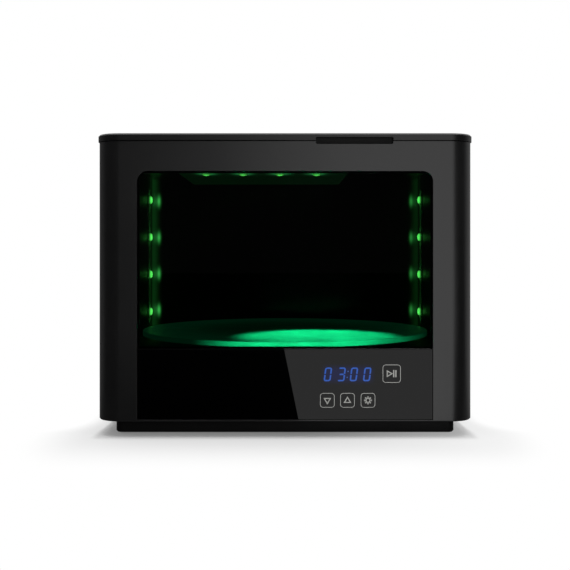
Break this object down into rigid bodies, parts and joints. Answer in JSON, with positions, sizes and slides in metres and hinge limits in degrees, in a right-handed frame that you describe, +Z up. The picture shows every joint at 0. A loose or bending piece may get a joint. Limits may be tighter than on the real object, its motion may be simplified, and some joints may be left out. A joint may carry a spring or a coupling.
{
  "type": "light curing unit",
  "caption": "Bench-top light curing unit: a rounded black steel housing with a flip-up lid, tinted window, control fascia, lamp columns and a driven turntable.",
  "frame": {"origin": "on the table, under the centre of the footprint", "axes": "+Z up, the window and fascia face -Y, +X to the right seen from the front"},
  "size_m": [0.33, 0.33, 0.263],
  "materials": {
    "pan_paint": "satin",
    "white_plastic": "matte",
    "capacitor_sleeve": "gloss",
    "lamp_board": "satin",
    "lamp_lens": "gloss",
    "liner_gloss": "gloss",
    "circuit_board": "satin",
    "fascia_gloss": "gloss",
    "black_screw": "satin",
    "deck_sheet": "satin",
    "timer_display": "gloss",
    "motor_can": "satin",
    "shaft_steel": "polished",
    "coil_copper": "satin",
    "brass_post": "satin",
    "fan_plastic": "matte",
    "cup_plastic": "matte",
    "frame_plastic": "matte",
    "gearbox_steel": "satin",
    "heat_sink_metal": "satin",
    "rail_paint": "satin",
    "housing_paint": "satin",
    "zinc_screw": "satin",
    "tray_paint": "satin",
    "lining_gloss": "gloss",
    "magnet_metal": "satin",
    "seal_rubber": "matte",
    "lid_paint": "satin",
    "inlet_metal": "satin",
    "rocker_plastic": "gloss",
    "cover_paint": "satin",
    "foot_rubber": "matte",
    "switch_plastic": "matte",
    "rim_paint": "matte",
    "spring_steel": "satin",
    "disc_acrylic": "gloss",
    "hub_plastic": "matte",
    "pane_tint": "gloss"
  },
  "bodies": {
    "housing": {"base_pan": "pan_paint", "board_posts": "white_plastic", "capacitors": "capacitor_sleeve", "chamber_liner": "liner_gloss", "column_board_left": "lamp_board", "column_board_right": "lamp_board", "column_lamps_left": "lamp_lens", "column_lamps_right": "lamp_lens", "control_board": "circuit_board", "control_fascia": "fascia_gloss", "cover_screws": "black_screw", "deck": "deck_sheet", "display_module": "timer_display", "drive_motor": "motor_can", "driver_board": "circuit_board", "driver_coil": "coil_copper", "driver_posts": "brass_post", "fan_frame": "fan_plastic", "fan_screws": "black_screw", "frame_rails": "frame_plastic", "frame_stiles": "frame_plastic", "gearbox": "gearbox_steel", "heat_sink": "heat_sink_metal", "hinge_pins": "shaft_steel", "hinge_rail": "rail_paint", "housing_wrap": "housing_paint", "lid_sensor": "white_plastic", "motor_screws": "zinc_screw", "pan_screws": "zinc_screw", "power_inlet": "inlet_metal", "rear_cover": "cover_paint", "rear_frame": "deck_sheet", "rubber_feet": "foot_rubber", "switch_body": "switch_plastic", "top_rim": "rim_paint", "touch_springs": "spring_steel", "window_pane": "pane_tint"},
    "lid": {"lid_shell": "lid_paint", "finger_cup": "cup_plastic", "lid_lining": "lining_gloss", "lid_seal": "seal_rubber", "lid_magnet": "magnet_metal", "lamp_tray": "tray_paint", "ceiling_board": "lamp_board", "ceiling_lamps": "lamp_lens"},
    "turntable": {"turntable_disc": "disc_acrylic", "turntable_hub": "hub_plastic", "hub_screws": "zinc_screw", "drive_shaft": "shaft_steel"},
    "fan_rotor": {"fan_rotor": "fan_plastic"},
    "power_rocker": {"power_rocker": "rocker_plastic"}
  },
  "joints": [
    {"name": "lid_hinge", "type": "hinge", "parent": "housing", "child": "lid", "pos_m": [0, 0.1585, 0.2599], "axis": [-1, 0, 0], "range_deg": [0, 95]},
    {"name": "turntable_spin", "type": "hinge", "parent": "housing", "child": "turntable", "pos_m": [0, -0.00925, 0.0768], "axis": [0, 0, 1], "continuous": true},
    {"name": "fan_spin", "type": "hinge", "parent": "housing", "child": "fan_rotor", "pos_m": [0, 0.155, 0.15], "axis": [0, 1, 0], "continuous": true},
    {"name": "power_rock", "type": "hinge", "parent": "housing", "child": "power_rocker", "pos_m": [-0.058, 0.1609, 0.048], "axis": [0, 0, -1], "range_deg": [0, 14]}
  ]
}
